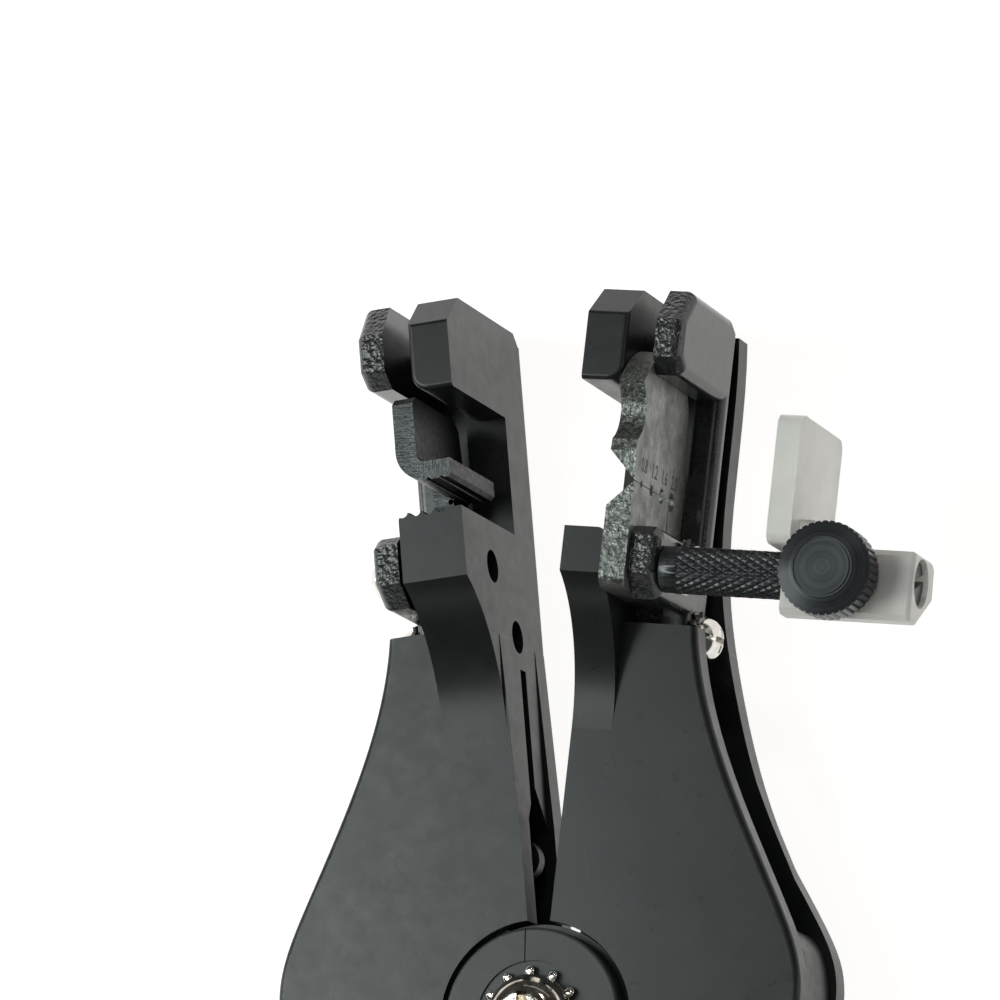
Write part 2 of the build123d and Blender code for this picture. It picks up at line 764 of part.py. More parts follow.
def handle_pin():
    """Riveted pin with a flat head sunk in the front plate."""
    with BuildPart() as pin:
        with BuildSketch(Plane.XY.offset(0.1)):
            with Locations((PIN_X, PIN_Y)):
                Circle(PIN_R)
        extrude(amount=FRONT - 0.9 - 0.1)
        with BuildSketch(Plane.XY.offset(FRONT - 0.85)):
            with Locations((PIN_X, PIN_Y)):
                Circle(PIN_R + 0.9)
        extrude(amount=0.8)
        with BuildSketch(Plane.XY.offset(FRONT - 1.5)):
            with Locations((PIN_X, PIN_Y)):
                Circle(PIN_R)
        extrude(amount=1.0)
    return pin.part


for side, lap_low, lap_high in (("left", 5.35, 7.1), ("right", 7.4, 9.2)):
    save(place(handle_channel(), side), f"{side}_handle")
    save(place(cam_plate(lap_low, lap_high), side), f"{side}_cam")
    save(place(grip(), side), f"{side}_grip")
    save(place(handle_pin(), side), f"{side}_handle_pin")
    seat = Plane(origin=(PIN_X, PIN_Y, 7.65))
    save(place(coil(seat, 4.1, 0.9, 1.2, 0.95), side), f"{side}_handle_spring")
    pocket = side_plane(PIVOT_Y, PIVOT_Z, CHEEK_IN + 0.35)
    save(place(coil(pocket, 2.3, 0.5, 2.0, 0.6), side), f"{side}_jaw_spring")


# ---- wire stop ----
with BuildPart() as stop_rod:
    with BuildSketch(side_plane(ROD_Y, ROD_Z, ROD_BORE)):
        Circle(SHANK_R)
    extrude(amount=CHEEK_OUT - ROD_BORE)
    with BuildSketch(side_plane(ROD_Y, ROD_Z, CHEEK_OUT)):
        Circle(ROD_R)
    extrude(amount=ROD_END - CHEEK_OUT)
    with BuildSketch(side_plane(ROD_Y, ROD_Z, ROD_END)):
        Circle(1.25)
    extrude(amount=-6, mode=Mode.SUBTRACT)
save(place(stop_rod.part, "right"), "stop_rod")

with BuildPart() as rod_screw:
    with BuildSketch(side_plane(ROD_Y, ROD_Z, ROD_END)):
        Circle(ROD_R)
    extrude(amount=1.5)
    fillet(rod_screw.edges().group_by(Axis.X)[-1], 0.2)
    with BuildSketch(side_plane(ROD_Y, ROD_Z, ROD_END + 1.5)):
        Rectangle(0.8, 7, rotation=24)
    extrude(amount=-0.9, mode=Mode.SUBTRACT)
    with BuildSketch(side_plane(ROD_Y, ROD_Z, ROD_END)):
        Circle(1.2)
    extrude(amount=-5)
save(place(rod_screw.part, "right"), "rod_end_screw")

with BuildPart() as slider:
    with BuildSketch(side_plane(ROD_Y, ROD_Z, BLOCK_IN)):
        Polygon(
            (-4.4, 0.2),
            (-1.1, -4.8),
            (2.4, -4.6),
            (2.9, -3.6),
            (2.9, 2.6),
            (2.3, 3.2),
            (-3.8, 3.2),
            (-4.4, 2.6),
            align=None,
        )
    extrude(amount=BLOCK_END - BLOCK_IN)
    fillet(slider.edges().group_by(Axis.X)[-1], 0.5)
    # upright guard plate that the wire's end meets
    with BuildSketch(side_plane(0, 0, GUARD_IN)):
        with Locations((sum(GUARD_Y) / 2, sum(GUARD_Z) / 2)):
            RectangleRounded(GUARD_Y[1] - GUARD_Y[0], GUARD_Z[1] - GUARD_Z[0], 1.3)
    extrude(amount=GUARD_OUT - GUARD_IN)
    # foot that carries the plate on the block
    with BuildSketch(Plane.XY.offset(ROD_Z - 3.4)):
        Polygon((24.6, 49.9), (24.6, 53.0), (27.6, 53.0), (29.6, 50.0), align=None)
    extrude(amount=6.0)
    with BuildSketch(side_plane(ROD_Y, ROD_Z, GUARD_IN - 1)):
        Circle(ROD_R + 0.06)
    extrude(amount=30, mode=Mode.SUBTRACT)
    with BuildSketch(Plane.XY.offset(ROD_Z)):
        with Locations((KNOB_X, ROD_Y)):
            Circle(1.5)
    extrude(amount=10, mode=Mode.SUBTRACT)
save(place(slider.part, "right"), "stop_slider")

with BuildPart() as knob:
    with BuildSketch(Plane.XY.offset(KNOB_LOW)):
        with Locations((KNOB_X, ROD_Y)):
            Circle(KNOB_R)
    extrude(amount=KNOB_TOP - KNOB_LOW)
    rim = knob.edges().group_by(Axis.Z)[-1]
    chamfer(rim, 0.8, 1.75, reference=knob.faces().filter_by(GeomType.CYLINDER)[0])
    chamfer(knob.edges().group_by(Axis.Z)[0], 0.4)
    with BuildSketch(Plane.XY.offset(KNOB_TOP - 0.15)):
        with Locations((KNOB_X, ROD_Y)):
            Circle(3.1)
            Circle(2.9, mode=Mode.SUBTRACT)
    extrude(amount=1, mode=Mode.SUBTRACT)
    with BuildSketch(Plane.XY.offset(KNOB_LOW - 1)):
        with Locations((KNOB_X, ROD_Y)):
            with PolarLocations(KNOB_R + 0.12, 40):
                Rectangle(0.5, 0.4, rotation=45)
    extrude(amount=8, mode=Mode.SUBTRACT)
    with BuildSketch(Plane.XY.offset(KNOB_LOW)):
        with Locations((KNOB_X, ROD_Y)):
            Circle(1.45)
    extrude(amount=-(KNOB_LOW - ROD_Z - ROD_R - 0.02))
save(place(knob.part, "right"), "clamp_knob")
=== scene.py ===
import json
import math

import bmesh
import bpy
from mathutils import Matrix, Vector


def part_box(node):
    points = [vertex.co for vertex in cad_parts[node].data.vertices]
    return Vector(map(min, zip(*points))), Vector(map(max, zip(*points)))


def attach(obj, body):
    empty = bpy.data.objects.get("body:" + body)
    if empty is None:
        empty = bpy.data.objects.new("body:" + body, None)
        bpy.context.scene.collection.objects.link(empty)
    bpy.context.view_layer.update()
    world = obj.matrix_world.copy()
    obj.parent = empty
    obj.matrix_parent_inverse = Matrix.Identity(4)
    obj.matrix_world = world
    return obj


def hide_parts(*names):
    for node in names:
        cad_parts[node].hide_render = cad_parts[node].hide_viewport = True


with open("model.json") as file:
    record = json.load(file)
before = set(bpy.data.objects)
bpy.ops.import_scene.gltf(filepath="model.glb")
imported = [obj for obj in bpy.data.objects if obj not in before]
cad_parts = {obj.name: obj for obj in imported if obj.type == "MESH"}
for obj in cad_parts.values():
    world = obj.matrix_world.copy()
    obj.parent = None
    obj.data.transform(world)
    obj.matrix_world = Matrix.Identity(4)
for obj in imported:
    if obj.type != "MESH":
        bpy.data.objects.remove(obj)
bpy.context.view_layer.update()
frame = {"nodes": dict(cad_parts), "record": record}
nodes = frame["nodes"]
scene = bpy.context.scene
scene.view_settings.view_transform = "Standard"

MM = 0.001
SPREAD = math.radians(5.75)  # each half stands open by this much

# ---------------------------------------------------------------- camera
CAMERA_AZIMUTH = math.radians(19.2)  # to the right of the tool's front normal
CAMERA_ELEVATION = math.radians(11.1)  # towards the handles
CAMERA_ROLL = math.radians(1.0)
CAMERA_DISTANCE = 0.7277
CAMERA_LENS = 244.5
AIM = Vector((-0.00646, 0.05659, 0.010))


def make_camera():
    """Long lens looking down on the head of the tool, handles out of view below."""
    data = bpy.data.cameras.new("camera")
    data.lens = CAMERA_LENS
    data.sensor_width = 36.0
    data.clip_start = 0.05
    data.clip_end = 20.0
    camera = bpy.data.objects.new("camera", data)
    scene.collection.objects.link(camera)
    back = Vector((
        math.sin(CAMERA_AZIMUTH) * math.cos(CAMERA_ELEVATION),
        -math.sin(CAMERA_ELEVATION),
        math.cos(CAMERA_AZIMUTH) * math.cos(CAMERA_ELEVATION),
    )).normalized()
    right = Vector((0, 1, 0)).cross(back).normalized()
    up = back.cross(right)
    rolled_right = right * math.cos(CAMERA_ROLL) + up * math.sin(CAMERA_ROLL)
    rolled_up = back.cross(rolled_right)
    turn = Matrix((rolled_right, rolled_up, back)).transposed()
    camera.matrix_world = Matrix.Translation(AIM + back * CAMERA_DISTANCE) @ turn.to_4x4()
    scene.camera = camera


make_camera()


# ---------------------------------------------------------------- frames of the two halves
def right_point(u, y, z):
    """Point of the right half, given along its own axes in millimetres."""
    return Vector((
        u * math.cos(SPREAD) + y * math.sin(SPREAD),
        -u * math.sin(SPREAD) + y * math.cos(SPREAD),
        z,
    )) * MM


def right_turn():
    """Columns: along the screws, up the half, and to the front."""
    return Matrix((
        (math.cos(SPREAD), math.sin(SPREAD), 0),
        (-math.sin(SPREAD), math.cos(SPREAD), 0),
        (0, 0, 1),
    ))


# ---------------------------------------------------------------- material kit
class Kit:
    """Small helper that wires the nodes of one material."""

    def __init__(self, name, color, rough, metal=0.0):
        self.material = bpy.data.materials.new(name)
        self.material.use_nodes = True
        self.tree = self.material.node_tree
        self.shader = self.tree.nodes["Principled BSDF"]
        self.shader.inputs["Base Color"].default_value = (*color, 1)
        self.shader.inputs["Roughness"].default_value = rough
        self.shader.inputs["Metallic"].default_value = metal
        self.height = None

    def node(self, kind, **values):
        made = self.tree.nodes.new(kind)
        for key, value in values.items():
            setattr(made, key, value)
        return made

    def link(self, start, end):
        self.tree.links.new(start, end)

    def coords(self, scale, place=(0, 0, 0)):
        """Object coordinates, stretched and then moved."""
        where = self.node("ShaderNodeTexCoord")
        shape = self.node("ShaderNodeMapping")
        shape.inputs["Location"].default_value = place
        shape.inputs["Scale"].default_value = scale
        self.link(where.outputs["Object"], shape.inputs["Vector"])
        return shape.outputs["Vector"]

    def noise(self, size, detail=3.0, rough=0.55, stretch=(1, 1, 1)):
        """Noise whose features are about size millimetres."""
        made = self.node("ShaderNodeTexNoise")
        made.inputs["Scale"].default_value = 1.0
        made.inputs["Detail"].default_value = detail
        made.inputs["Roughness"].default_value = rough
        factor = 1.0 / (size * MM)
        self.link(self.coords([factor * s for s in stretch]), made.inputs["Vector"])
        return made.outputs["Fac"]

    def cells(self, size):
        """Distance to the nearest of points about size millimetres apart."""
        made = self.node("ShaderNodeTexVoronoi")
        made.inputs["Scale"].default_value = 1.0
        factor = 1.0 / (size * MM)
        self.link(self.coords([factor] * 3), made.inputs["Vector"])
        return made.outputs["Distance"]

    def span(self, value, low, high, out_low=0.0, out_high=1.0):
        """Value taken from low..high to out_low..out_high, held at the ends."""
        made = self.node("ShaderNodeMapRange")
        made.inputs["From Min"].default_value = low
        made.inputs["From Max"].default_value = high
        made.inputs["To Min"].default_value = out_low
        made.inputs["To Max"].default_value = out_high
        self.link(value, made.inputs["Value"])
        return made.outputs["Result"]

    def math(self, operation, first, second):
        made = self.node("ShaderNodeMath", operation=operation)
        for socket, value in zip(made.inputs, (first, second)):
            if isinstance(value, (int, float)):
                socket.default_value = value
            else:
                self.link(value, socket)
        return made.outputs["Value"]

    def blend(self, factor, first, second):
        """Mix two colours, each a colour or a socket."""
        made = self.node("ShaderNodeMix")
        made.data_type = "RGBA"
        sockets = [s for s in made.inputs if s.type == "RGBA"]
        for socket, value in zip(sockets, (first, second)):
            if isinstance(value, tuple):
                socket.default_value = (*value, 1)
            else:
                self.link(value, socket)
        self.link(factor, made.inputs[0])
        return [s for s in made.outputs if s.type == "RGBA"][0]

    def facing(self, axis, low, high):
        """1 where the surface faces along an axis of the object."""
        where = self.node("ShaderNodeTexCoord")
        split = self.node("ShaderNodeSeparateXYZ")
        self.link(where.outputs["Normal"], split.inputs["Vector"])
        return self.span(split.outputs[axis], low, high)

    def position(self, axis):
        """Place along an axis of the object, in millimetres."""
        split = self.node("ShaderNodeSeparateXYZ")
        self.link(self.coords((1000, 1000, 1000)), split.inputs["Vector"])
        return split.outputs[axis]

    def color(self, socket):
        self.link(socket, self.shader.inputs["Base Color"])

    def rough(self, socket):
        self.link(socket, self.shader.inputs["Roughness"])

    def bump(self, height, strength, distance_mm):
        """Add one bump layer on top of those already there."""
        made = self.node("ShaderNodeBump")
        made.inputs["Strength"].default_value = strength
        made.inputs["Distance"].default_value = distance_mm * MM
        self.link(height, made.inputs["Height"])
        if self.height is not None:
            self.link(self.height, made.inputs["Normal"])
        self.height = made.outputs["Normal"]
        self.link(self.height, self.shader.inputs["Normal"])


def black_enamel(name="black_enamel", low=0.26, high=0.36, painted_light_factor=1.0):
    """Satin enamel with a few dust specks under it; roughness runs from low to high; a colour factor
    above 1 lightens it as painted light.
    """
    kit = Kit(name, (0.011, 0.0125, 0.0125), 0.3)
    cloud = kit.noise(9, 4)
    # the colour factor multiplies both tones; above 1 it is painted light
    dark = (0.008 * painted_light_factor, 0.0095 * painted_light_factor, 0.0095 * painted_light_factor)
    light = (0.014 * painted_light_factor, 0.0155 * painted_light_factor, 0.0155 * painted_light_factor)
    kit.color(kit.blend(kit.span(cloud, 0.3, 0.7), dark, light))
    kit.rough(kit.span(kit.noise(2.2, 5, 0.65), 0.3, 0.7, low, high))
    kit.bump(kit.noise(0.7, 3), 0.2, 0.02)
    dust = kit.span(kit.cells(2.6), 0.05, 0.12)
    kit.bump(dust, 0.12, 0.03)
    kit.shader.inputs["IOR"].default_value = 1.33
    return kit.material


def rough_casting():
    """Thin black paint, with the coarse grain only on the raised front."""
    kit = Kit("rough_casting", (0.013, 0.014, 0.0145), 0.3)
    grain_from, grain_full = 15.0, 18.0  # height above the floor, mm
    raised = kit.span(kit.position("Z"), grain_from, grain_full)
    front = kit.math("MULTIPLY", kit.facing("Z", 0.45, 0.8), raised)
    grain = kit.noise(0.56, 2, 0.55)
    pits = kit.span(kit.cells(0.62), 0.0, 0.6)
    coarse = kit.math("MULTIPLY", kit.math("ADD", grain, kit.math("MULTIPLY", pits, 0.5)), front)
    kit.color(kit.blend(kit.span(grain, 0.3, 0.7), (0.008, 0.0095, 0.0095), (0.02, 0.022, 0.0225)))
    kit.rough(kit.span(kit.noise(1.3, 4), 0.3, 0.7, 0.16, 0.26))
    kit.bump(coarse, 1.0, 0.2)
    kit.bump(kit.noise(0.8, 3), 0.2, 0.02)
    kit.shader.inputs["IOR"].default_value = 1.47
    return kit.material


def gripper_steel():
    """Dark steel whose cut front edge is brushed across, down the leg and along the foot."""
    kit = Kit("gripper_steel", (0.02, 0.02, 0.021), 0.35, 0.8)
    head = kit.span(kit.position("Y"), 55.5, 56.1)  # brushed from the foot upwards
    front = kit.math("MULTIPLY", kit.facing("Z", 0.5, 0.85), head)
    leg = kit.noise(0.16, 3, 0.6, (0.12, 1, 0.3))
    foot = kit.noise(0.16, 3, 0.6, (1, 0.12, 0.3))
    turned = kit.span(kit.position("X"), -11.6, -9.8)  # where the leg bends into the foot
    across = kit.math("ADD", kit.math("MULTIPLY", foot, turned),
                      kit.math("MULTIPLY", leg, kit.math("SUBTRACT", 1.0, turned)))
    scale = kit.noise(0.5, 5, 0.7)
    face = kit.blend(kit.span(across, 0.3, 0.7), (0.03, 0.034, 0.034), (0.085, 0.092, 0.092))
    body = kit.blend(kit.span(scale, 0.3, 0.75), (0.008, 0.009, 0.0095), (0.022, 0.023, 0.024))
    kit.color(kit.blend(front, body, face))
    kit.rough(kit.span(kit.noise(0.6, 4), 0.3, 0.7, 0.32, 0.5))
    kit.bump(kit.math("MULTIPLY", across, front), 0.8, 0.14)
    kit.bump(scale, 0.25, 0.04)
    return kit.material


def blade_steel():
    """Streaked and spotted face, darker grainy front edge."""
    kit = Kit("blade_steel", (0.16, 0.165, 0.16), 0.42, 0.85)
    streak = kit.noise(0.22, 4, 0.65, (1, 0.1, 1))
    tarnish = kit.noise(3.2, 5, 0.62)
    specks = kit.span(kit.noise(0.3, 2), 0.66, 0.74)
    front = kit.facing("Z", 0.4, 0.8)
    base = kit.blend(kit.span(streak, 0.3, 0.7), (0.15, 0.155, 0.145), (0.34, 0.345, 0.325))
    dark = kit.blend(kit.span(tarnish, 0.4, 0.72), base, (0.1, 0.1, 0.09))
    spotted = kit.blend(kit.math("MULTIPLY", specks, 0.6), dark, (0.5, 0.5, 0.46))
    grain = kit.noise(0.5, 2, 0.6)
    grainy = kit.blend(kit.span(grain, 0.35, 0.7), (0.045, 0.049, 0.045), (0.185, 0.198, 0.182))
    kit.color(kit.blend(front, spotted, grainy))
    kit.rough(kit.span(tarnish, 0.3, 0.7, 0.34, 0.55))
    kit.bump(streak, 0.25, 0.03)
    kit.bump(kit.math("MULTIPLY", grain, front), 0.9, 0.16)
    return kit.material


def chrome():
    kit = Kit("chrome", (0.75, 0.72, 0.68), 0.1, 1.0)
    cloud = kit.span(kit.noise(1.6, 4), 0.35, 0.7)
    kit.color(kit.blend(cloud, (0.8, 0.785, 0.76), (0.6, 0.56, 0.51)))
    kit.rough(kit.span(kit.noise(0.7, 4), 0.3, 0.75, 0.07, 0.2))
    kit.bump(kit.noise(0.5, 3), 0.12, 0.02)
    return kit.material


def black_oxide(name="black_oxide", metal=0.55, low=0.3, high=0.45, grain=0.25):
    kit = Kit(name, (0.022, 0.023, 0.024), 0.36, metal)
    cloud = kit.span(kit.noise(0.8, 4), 0.3, 0.7)
    kit.color(kit.blend(cloud, (0.016, 0.018, 0.019), (0.045, 0.047, 0.049)))
    kit.rough(kit.span(kit.noise(0.5, 4), 0.3, 0.7, low, high))
    kit.bump(kit.noise(0.25, 3), grain, 0.02)
    return kit.material


def turned_black(name, centre):
    """Black turned steel with fine circles round a centre, seen along Z."""
    kit = Kit(name, (0.024, 0.027, 0.029), 0.33, 0.5)
    ring_mm = 0.2
    shape = kit.coords((1000, 1000, 0.0), place=(-centre.x * 1000, -centre.y * 1000, 0))
    length = kit.node("ShaderNodeVectorMath", operation="LENGTH")
    kit.link(shape, length.inputs[0])
    away = length.outputs["Value"]
    wave = kit.math("SINE", kit.math("MULTIPLY", away, 2 * math.pi / ring_mm), 0.0)
    uneven = kit.node("ShaderNodeTexNoise")
    uneven.noise_dimensions = "1D"
    uneven.inputs["Scale"].default_value = 2.2
    uneven.inputs["Detail"].default_value = 4.0
    kit.link(away, uneven.inputs["W"])
    rings = kit.math("ADD", kit.math("MULTIPLY", wave, 0.25), uneven.outputs["Fac"])
    band = kit.span(uneven.outputs["Fac"], 0.35, 0.65)
    kit.color(kit.blend(band, (0.017, 0.0195, 0.021), (0.036, 0.041, 0.044)))
    kit.rough(kit.span(kit.noise(0.6, 4), 0.3, 0.7, 0.3, 0.4))
    kit.bump(rings, 0.35, 0.03)
    kit.bump(kit.noise(0.3, 3), 0.12, 0.02)
    return kit.material


def milky_plastic():
    kit = Kit("milky_plastic", (0.7, 0.69, 0.65), 0.3)
    cloud = kit.noise(4.0, 4, 0.6)
    kit.color(kit.blend(kit.span(cloud, 0.3, 0.7), (0.8, 0.79, 0.75), (0.72, 0.71, 0.67)))
    kit.rough(kit.span(kit.noise(1.2, 4), 0.3, 0.7, 0.3, 0.42))
    kit.shader.inputs["IOR"].default_value = 1.46
    kit.shader.inputs["Transmission Weight"].default_value = 0.42
    kit.bump(kit.noise(1.6, 2), 0.1, 0.02)
    return kit.material


def handle_steel():
    kit = Kit("handle_steel", (0.01, 0.011, 0.011), 0.32, 0.0)
    cloud = kit.span(kit.noise(3.0, 5, 0.65), 0.35, 0.68)
    kit.color(kit.blend(cloud, (0.007, 0.008, 0.008), (0.014, 0.015, 0.015)))
    kit.rough(kit.span(kit.noise(1.0, 4), 0.3, 0.7, 0.28, 0.4))
    kit.shader.inputs["IOR"].default_value = 1.33
    kit.bump(kit.noise(0.5, 3, 0.6, (1, 0.2, 1)), 0.2, 0.02)
    return kit.material


def grip_vinyl():
    kit = Kit("grip_vinyl", (0.02, 0.02, 0.021), 0.48)
    cloud = kit.span(kit.noise(6, 4), 0.35, 0.65)
    kit.color(kit.blend(cloud, (0.016, 0.0165, 0.017), (0.026, 0.027, 0.028)))
    kit.rough(kit.span(kit.noise(2.0, 4), 0.3, 0.7, 0.42, 0.56))
    kit.bump(kit.noise(0.45, 4, 0.65), 0.35, 0.05)
    kit.bump(kit.noise(5.0, 2), 0.3, 0.2)
    return kit.material


def spring_steel():
    kit = Kit("spring_steel", (0.5, 0.5, 0.49), 0.28, 1.0)
    kit.color(kit.blend(kit.span(kit.noise(0.7, 4), 0.3, 0.7), (0.42, 0.41, 0.39), (0.62, 0.61, 0.59)))
    kit.rough(kit.span(kit.noise(0.4, 3), 0.3, 0.7, 0.2, 0.36))
    kit.bump(kit.noise(0.2, 3), 0.15, 0.01)
    return kit.material


def marking_ink():
    """Dark figures of the size marks."""
    kit = Kit("marking_dark", (0.01, 0.01, 0.01), 0.6)
    cloud = kit.span(kit.noise(0.2, 3), 0.35, 0.7)
    kit.color(kit.blend(cloud, (0.008, 0.008, 0.008), (0.03, 0.03, 0.028)))
    kit.bump(kit.noise(0.15, 3), 0.3, 0.02)
    return kit.material


MATERIALS = {
    "black_enamel": black_enamel(),
    "rough_casting": rough_casting(),
    "gripper_steel": gripper_steel(),
    "blade_steel": blade_steel(),
    "chrome": chrome(),
    "black_oxide": black_oxide(),
    "milky_plastic": milky_plastic(),
    "handle_steel": handle_steel(),
    "grip_vinyl": grip_vinyl(),
    "spring_steel": spring_steel(),
}


def centre_of(name):
    low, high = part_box(name)
    return (Vector(low) + Vector(high)) / 2


def domed_chrome():
    """Bright dome with warm, dark reflections painted into its colour in patches."""
    kit = Kit("domed_chrome", (0.7, 0.64, 0.56), 0.08, 1.0)
    cloud = kit.span(kit.noise(1.1, 4), 0.38, 0.66)
    # painted reflection: patches of the colour darkened to warm brown
    kit.color(kit.blend(cloud, (0.74, 0.7, 0.63), (0.36, 0.31, 0.25)))
    kit.rough(kit.span(kit.noise(0.7, 4), 0.3, 0.75, 0.05, 0.16))
    kit.bump(kit.noise(0.9, 3), 0.25, 0.04)
    return kit.material


# nodes that look different from the rest of their slot
OWN = {
    "hub_screw": domed_chrome(),
    "clamp_knob": turned_black("turned_knob", centre_of("clamp_knob")),
    # hub ring: the same black enamel, its colour lightened 2.4 times as painted light
    "hub_ring": black_enamel("hub_enamel_painted_light", 0.36, 0.44, 2.4),
}

for row in frame["record"]["subparts"]:
    piece = nodes[row["node"]]
    piece.data.materials.clear()
    piece.data.materials.append(OWN.get(row["node"], MATERIALS[row["material_slot"]]))


# ---------------------------------------------------------------- soft edges on the CAD nodes
FLAT_ANGLE = math.radians(0.6)  # triangles within this are one face
SHARP_ANGLE = math.radians(32)  # edges above this are rounded


def soft_edges(name, width_mm, segments=2):
    """Merge flat triangles, then round the sharp edges a little."""
    piece = nodes[name]
    flat = piece.modifiers.new("flat", "DECIMATE")
    flat.decimate_type = "DISSOLVE"
    flat.angle_limit = FLAT_ANGLE
    edge = piece.modifiers.new("edge", "BEVEL")
    edge.width = width_mm * MM
    edge.segments = segments
    edge.limit_method = "ANGLE"
    edge.angle_limit = SHARP_ANGLE
    edge.harden_normals = True
    edge.miter_outer = "MITER_ARC"


for name in ("left_frame", "right_frame"):
    soft_edges(name, 0.28)
for name in ("left_cheek", "right_cheek"):
    soft_edges(name, 0.35)
soft_edges("left_jaw_lever", 0.14)
soft_edges("stop_slider", 0.45, 3)


# ---------------------------------------------------------------- knurled rod
ROD_Y, ROD_Z = 47.4, 21.1
ROD_START, ROD_SHOULDER, ROD_KNURL, ROD_END = 2.0, 11.0, 13.0, 36.9
ROD_R, ROD_SHANK = 2.5, 1.75
ROD_CHAMFER = 0.2
SOCKET_R, SOCKET_DEPTH = 1.25, 5.5  # hole in the end for the slotted screw
ON_AXIS = 0.02  # radius of the closing rings
KNURL_STARTS, KNURL_ANGLE, KNURL_DEPTH = 20, math.radians(29), 0.21
KNURL_STEP = 0.11  # spacing of the rings along the knurl
ROD_AROUND = 240


def knurl_height(turn, along):
    """Depth in mm below full radius of a diamond knurl."""
    lead = 2 * math.pi * ROD_R / math.tan(KNURL_ANGLE)
    one = (KNURL_STARTS * turn / (2 * math.pi) + KNURL_STARTS * along / lead) % 1.0
    two = (KNURL_STARTS * turn / (2 * math.pi) - KNURL_STARTS * along / lead) % 1.0
    groove_one = max(0.0, 1 - abs(one - 0.5) * 2 / 0.6)
    groove_two = max(0.0, 1 - abs(two - 0.5) * 2 / 0.6)
    return KNURL_DEPTH * max(groove_one, groove_two)


def make_rod():
    """Plain shank in the right head, then a diamond knurl up to the drilled end."""
    rows = [
        (ROD_START, ON_AXIS, False),
        (ROD_START, ROD_SHANK - ROD_CHAMFER, False),
        (ROD_START + ROD_CHAMFER, ROD_SHANK, False),
        (ROD_SHOULDER, ROD_SHANK, False),
        (ROD_SHOULDER, ROD_R - ROD_CHAMFER, False),
        (ROD_SHOULDER + 0.15, ROD_R - 0.05, False),
        (ROD_KNURL - 0.1, ROD_R - 0.05, False),
    ]
    count = int((ROD_END - 0.2 - ROD_KNURL) / KNURL_STEP)
    for step in range(count + 1):
        rows.append((ROD_KNURL + (ROD_END - 0.2 - ROD_KNURL) * step / count, ROD_R, True))
    rows += [
        (ROD_END, ROD_R - 0.3, False),
        (ROD_END, SOCKET_R, False),
        (ROD_END - SOCKET_DEPTH, SOCKET_R, False),
        (ROD_END - SOCKET_DEPTH, ON_AXIS, False),
    ]
    mesh = bpy.data.meshes.new("knurled_rod")
    build = bmesh.new()
    rings = []
    for along, radius, knurled in rows:
        ring = []
        for step in range(ROD_AROUND):
            turn = 2 * math.pi * step / ROD_AROUND
            size = radius - (knurl_height(turn, along) if knurled else 0)
            ring.append(build.verts.new(right_point(
                along, ROD_Y + size * math.cos(turn), ROD_Z + size * math.sin(turn))))
        rings.append(ring)
    for first, second in zip(rings, rings[1:]):
        for step in range(ROD_AROUND):
            after = (step + 1) % ROD_AROUND
            build.faces.new((first[step], second[step], second[after], first[after]))
    build.faces.new(rings[0])
    build.faces.new(list(reversed(rings[-1])))
    bmesh.ops.recalc_face_normals(build, faces=build.faces)
    for face in build.faces:
        face.smooth = True
    build.to_mesh(mesh)
    build.free()
    rod = bpy.data.objects.new("knurled_rod", mesh)
    scene.collection.objects.link(rod)
    mesh.materials.append(black_oxide("knurled_oxide", 0.6, 0.26, 0.4, 0.1))
    sharp = rod.modifiers.new("sharp", "EDGE_SPLIT")
    sharp.split_angle = math.radians(55)
    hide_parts("stop_rod")
    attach(rod, "right_side")


make_rod()


# ---------------------------------------------------------------- star washer of the hub
WASHER_HOLE = 2.3 * MM
WASHER_AROUND = 96
TEETH = 12
TOOTH_TURN = math.radians(2)  # first tooth, from +X
TOOTH_LEAN = math.radians(24)  # twist about its own length
TOOTH_SIZE = (0.72 * MM, 0.62 * MM, 0.4 * MM)


def bead(build, centre, along, side, up, size):
    """Smooth egg-shaped tooth; size is its half length, half width and half height."""
    made = bmesh.ops.create_icosphere(build, subdivisions=3, radius=1.0)
    turn = Matrix((along, side, up)).transposed()
    for vert in made["verts"]:
        point = vert.co
        tip = 1.0 + 0.18 * point.x
        vert.co = centre + turn @ Vector((point.x * size[0], point.y * size[1] * tip, point.z * size[2]))


